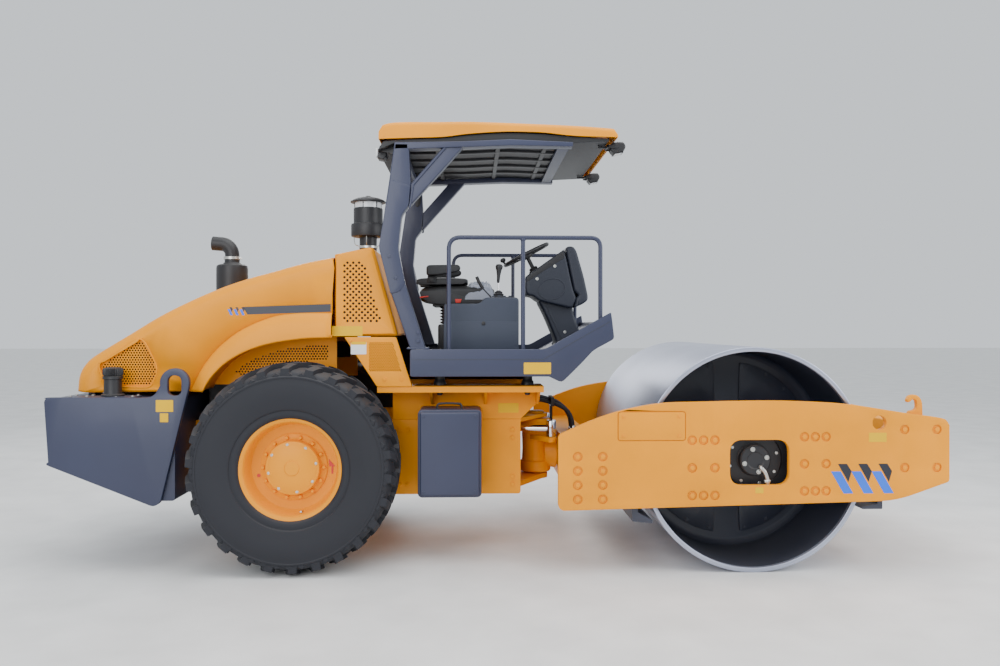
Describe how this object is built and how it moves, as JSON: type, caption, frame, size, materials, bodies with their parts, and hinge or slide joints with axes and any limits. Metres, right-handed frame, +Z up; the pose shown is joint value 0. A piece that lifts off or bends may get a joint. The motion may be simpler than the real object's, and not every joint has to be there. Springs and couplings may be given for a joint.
{
  "type": "single drum road roller",
  "caption": "Articulated single-drum vibratory road roller with an open roofed platform, smooth steel drum, rear tyres, tilting hood, oscillating front frame and steering cylinders.",
  "frame": {"origin": "on the floor, under the middle of the machine", "axes": "+X forwards to the drum, +Y to the left side, +Z up"},
  "size_m": [6.068, 2.3, 3.112],
  "materials": {
    "yellow": "gloss paint",
    "blue_grey": "semi-gloss paint",
    "black": "satin paint",
    "drum_steel": "rolled steel, polished by use",
    "rubber": "matt rubber",
    "plastic": "grained plastic",
    "vinyl": "seat vinyl",
    "chrome": "polished rod",
    "iron": "bare casting"
  },
  "bodies": {
    "rear_frame": {"chassis": "yellow", "platform_rail_right": "yellow", "platform_rail_left": "yellow", "rear_axle": "black", "engine_block": "iron", "counterweight": "blue_grey", "filler_cap": "black", "side_box_right": "blue_grey", "side_box_left": "blue_grey", "intake_cowl": "yellow", "lower_panel_right": "yellow", "lower_panel_left": "yellow", "pre_cleaner": "black", "deck": "blue_grey", "rops_frame": "blue_grey", "roof": "yellow", "roof_liner": "black", "front_lamp_right": "black", "front_lamp_left": "black", "handrail_right": "blue_grey", "handrail_left": "blue_grey", "seat_base": "plastic", "seat_cushion": "vinyl", "side_console_right": "plastic", "side_console_left": "plastic", "dashboard": "plastic"},
    "seat_back": {"seat_back": "vinyl"},
    "hood": {"hood": "yellow", "exhaust_stack": "black"},
    "wheel_right": {"tyre_right": "rubber", "rim_right": "yellow"},
    "wheel_left": {"tyre_left": "rubber", "rim_left": "yellow"},
    "steering_wheel": {"steering_wheel": "plastic"},
    "yoke": {"yoke": "yellow"},
    "front_frame": {"side_plate_right": "yellow", "side_plate_left": "yellow", "rear_beam": "yellow", "front_beam": "yellow", "lifting_hook_right": "yellow", "lifting_hook_left": "yellow", "scraper_rear": "black", "scraper_front": "black", "drum_support_right": "black", "drum_support_left": "black"},
    "drum": {"drum": "drum_steel"},
    "cylinder_right": {"cylinder_right": "black"},
    "cylinder_left": {"cylinder_left": "black"},
    "rod_right": {"rod_right": "chrome"},
    "rod_left": {"rod_left": "chrome"}
  },
  "joints": [
    {"name": "hood_hinge", "type": "hinge", "parent": "rear_frame", "child": "hood", "pos_m": [-2.914, 0, 1.2147], "axis": [0, -1, 0], "range_deg": [0, 50]},
    {"name": "seat_back_fold", "type": "hinge", "parent": "rear_frame", "child": "seat_back", "pos_m": [-0.575, 0, 1.985], "axis": [0, -1, 0], "range_deg": [0, 95]},
    {"name": "wheel_right_spin", "type": "hinge", "parent": "rear_frame", "child": "wheel_right", "pos_m": [-1.375, -0.855, 0.71], "axis": [0, 1, 0], "continuous": true},
    {"name": "wheel_left_spin", "type": "hinge", "parent": "rear_frame", "child": "wheel_left", "pos_m": [-1.375, 0.855, 0.71], "axis": [0, 1, 0], "continuous": true},
    {"name": "steering_wheel_turn", "type": "hinge", "parent": "rear_frame", "child": "steering_wheel", "pos_m": [0.262, 0, 2.232], "axis": [-0.454, 0, 0.891], "continuous": true},
    {"name": "steer", "type": "hinge", "parent": "rear_frame", "child": "yoke", "pos_m": [0.335, 0, 0.68], "axis": [0, 0, 1], "range_deg": [-33, 33]},
    {"name": "oscillation", "type": "hinge", "parent": "yoke", "child": "front_frame", "pos_m": [0.62, 0, 0.68], "axis": [1, 0, 0], "range_deg": [-10, 10]},
    {"name": "drum_spin", "type": "hinge", "parent": "front_frame", "child": "drum", "pos_m": [1.735, 0, 0.7615], "axis": [0, 1, 0], "continuous": true},
    {"name": "cylinder_right_swing", "type": "hinge", "parent": "rear_frame", "child": "cylinder_right", "pos_m": [-0.415, -0.14, 0.885], "axis": [0, 0, 1], "range_deg": [-5, 5]},
    {"name": "rod_right_slide", "type": "slide", "parent": "cylinder_right", "child": "rod_right", "axis": [0.9885, -0.1512, 0], "range_m": [-0.141, 0.141]},
    {"name": "cylinder_left_swing", "type": "hinge", "parent": "rear_frame", "child": "cylinder_left", "pos_m": [-0.415, 0.14, 0.885], "axis": [0, 0, 1], "range_deg": [-5, 5]},
    {"name": "rod_left_slide", "type": "slide", "parent": "cylinder_left", "child": "rod_left", "axis": [0.9885, 0.1512, 0], "range_m": [-0.141, 0.141]}
  ],
  "couplings": [
    {"joint": "cylinder_right_swing", "follows": "steer", "ratio": 0.147},
    {"joint": "rod_right_slide", "follows": "steer", "m_per_rad": 0.243},
    {"joint": "cylinder_left_swing", "follows": "steer", "ratio": 0.147},
    {"joint": "rod_left_slide", "follows": "steer", "m_per_rad": -0.243}
  ]
}
